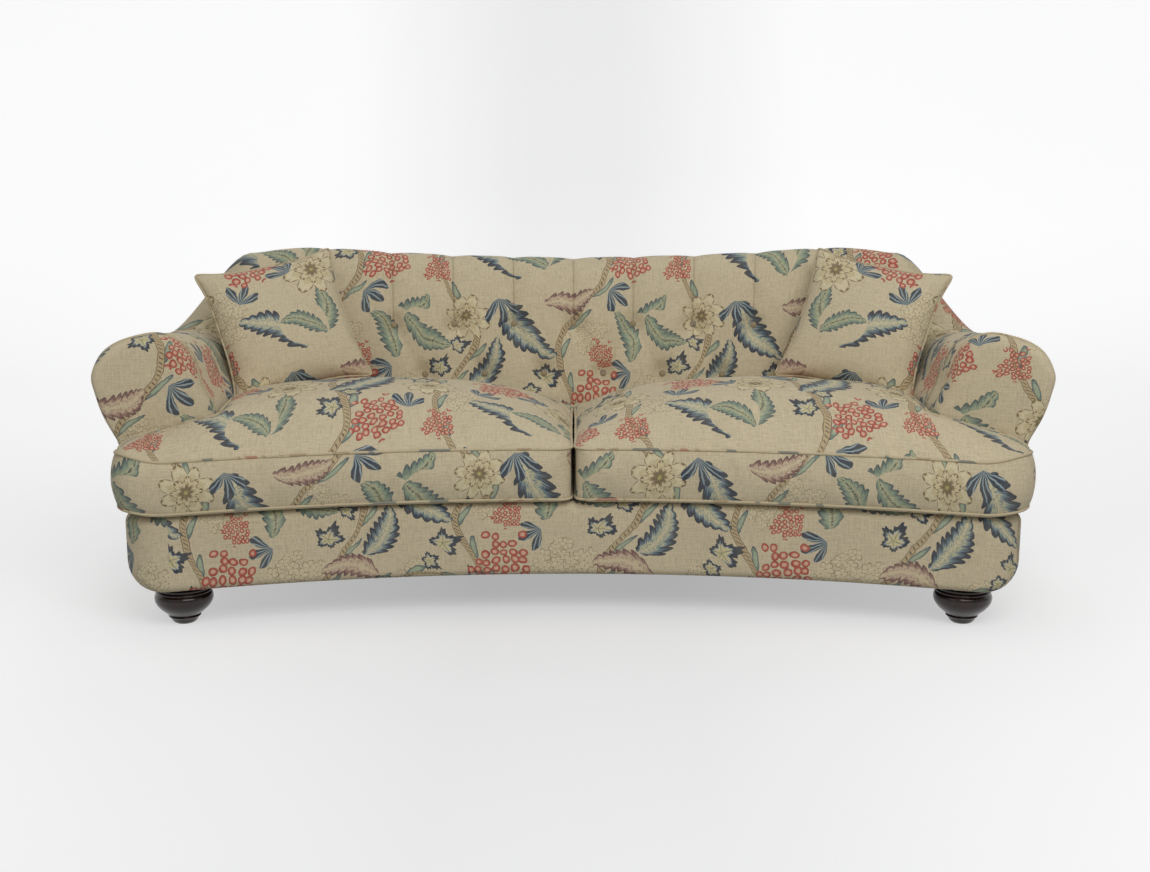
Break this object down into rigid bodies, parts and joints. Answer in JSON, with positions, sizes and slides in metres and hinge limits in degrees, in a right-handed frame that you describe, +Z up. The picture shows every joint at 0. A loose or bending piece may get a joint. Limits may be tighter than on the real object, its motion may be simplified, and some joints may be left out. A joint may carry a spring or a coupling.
{
  "type": "sofa",
  "caption": "Curved sofa with a channelled, buttoned wrap-around back, low roll arms, loose seat and scatter cushions and turned bun feet.",
  "frame": {"origin": "centre of the bounding box's bottom face, on the floor", "axes": "+X along the sofa to the viewer's right, +Y from the seat's front towards the back, +Z up"},
  "size_m": [2.296, 0.9806, 0.8592],
  "materials": {
    "hardwood": "sawn frame timber, never seen",
    "stained_wood": "dark mahogany stain under gloss lacquer",
    "steel": "oiled spring wire and zinc bolts",
    "webbing": "jute and elastic webbing with felt",
    "padding_cover": "printed linen over polyester wadding",
    "base_cover": "printed linen drawn tight over felt",
    "cushion_cover": "printed linen with self piping",
    "scatter_cover": "printed linen with self piping",
    "lining": "black non-woven dust cover"
  },
  "bodies": {
    "sofa": {"arm_facing_left": "padding_cover", "arm_facing_right": "padding_cover", "arm_pad_left": "padding_cover", "arm_pad_right": "padding_cover", "arm_post_left": "hardwood", "arm_post_right": "hardwood", "arm_rail_left": "hardwood", "arm_rail_right": "hardwood", "back_bottom_rail": "hardwood", "back_pad": "padding_cover", "back_post_left": "hardwood", "back_post_right": "hardwood", "back_strap_1": "webbing", "back_strap_2": "webbing", "back_strap_3": "webbing", "back_strap_4": "webbing", "back_strap_5": "webbing", "base_border": "base_cover", "corner_block_front_left": "hardwood", "corner_block_front_right": "hardwood", "corner_block_rear_left": "hardwood", "corner_block_rear_right": "hardwood", "corner_post_left": "hardwood", "corner_post_right": "hardwood", "dust_cover": "lining", "foot_bolt_front_left": "steel", "foot_bolt_front_right": "steel", "foot_bolt_rear_left": "steel", "foot_bolt_rear_right": "steel", "foot_front_left": "stained_wood", "foot_front_right": "stained_wood", "foot_rear_left": "stained_wood", "foot_rear_right": "stained_wood", "front_rail": "hardwood", "outside_arm_left": "base_cover", "outside_arm_right": "base_cover", "outside_back": "base_cover", "seat_deck": "webbing", "seat_spring_1": "steel", "seat_spring_2": "steel", "seat_spring_3": "steel", "seat_spring_4": "steel", "seat_spring_5": "steel", "seat_spring_6": "steel", "seat_spring_7": "steel", "seat_spring_8": "steel", "seat_spring_9": "steel", "seat_stretcher_left": "hardwood", "seat_stretcher_right": "hardwood", "side_rail_left": "hardwood", "side_rail_right": "hardwood", "top_rail": "hardwood", "tuck_rail": "hardwood"},
    "seat_cushion_left_body": {"seat_cushion_left": "cushion_cover"},
    "seat_cushion_right_body": {"seat_cushion_right": "cushion_cover"},
    "scatter_cushion_left_body": {"scatter_cushion_left": "scatter_cover"},
    "scatter_cushion_right_body": {"scatter_cushion_right": "scatter_cover"}
  },
  "joints": [
    {"name": "seat_cushion_left_lift", "type": "slide", "parent": "sofa", "child": "seat_cushion_left_body", "axis": [0, 0, 1], "range_m": [0, 0.6]},
    {"name": "seat_cushion_right_lift", "type": "slide", "parent": "sofa", "child": "seat_cushion_right_body", "axis": [0, 0, 1], "range_m": [0, 0.6]},
    {"name": "scatter_cushion_left_lift", "type": "slide", "parent": "seat_cushion_left_body", "child": "scatter_cushion_left_body", "axis": [0, 0, 1], "range_m": [0, 0.42]},
    {"name": "scatter_cushion_right_lift", "type": "slide", "parent": "seat_cushion_right_body", "child": "scatter_cushion_right_body", "axis": [0, 0, 1], "range_m": [0, 0.42]}
  ]
}
